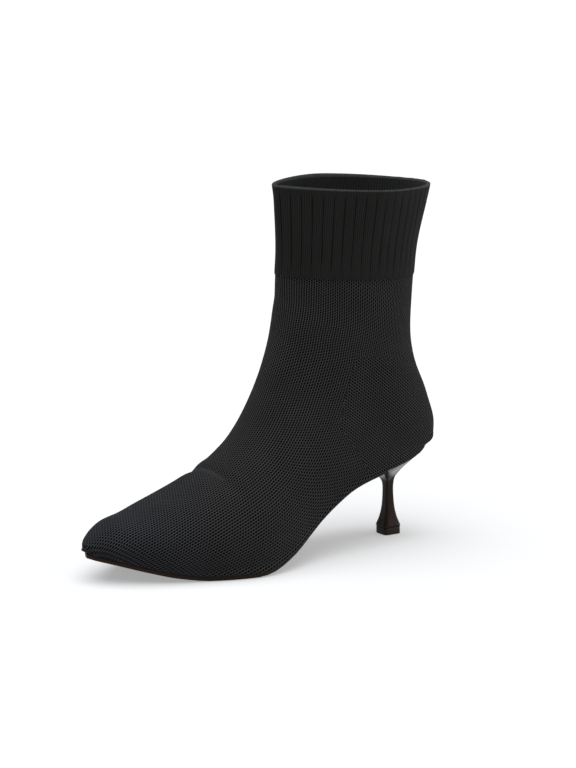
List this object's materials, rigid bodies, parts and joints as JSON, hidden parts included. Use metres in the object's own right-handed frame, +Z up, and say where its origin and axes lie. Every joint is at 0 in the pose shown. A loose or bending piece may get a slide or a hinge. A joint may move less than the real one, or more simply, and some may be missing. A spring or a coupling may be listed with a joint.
{
  "type": "sock boot",
  "caption": "Pull-on knitted ankle sock boot for the left foot, with a ribbed cuff, a pointed toe, a thin sole and a slim spool heel flared to a small rectangular foot.",
  "frame": {"origin": "on the floor, under the middle of the boot's box; the floor is the plane on which the forefoot and the heel stand", "axes": "+X towards the toe, +Y towards the outer side of the foot, +Z up the leg"},
  "size_m": [0.2636, 0.0894, 0.2353],
  "materials": {
    "knit": "matte knit",
    "lining": "matte",
    "sole": "satin",
    "heel": "high gloss",
    "heel_tip": "satin"
  },
  "bodies": {
    "root": {"upper": "knit", "insole": "lining", "outsole": "sole", "heel": "heel", "heel_tip": "heel_tip"}
  },
  "joints": []
}
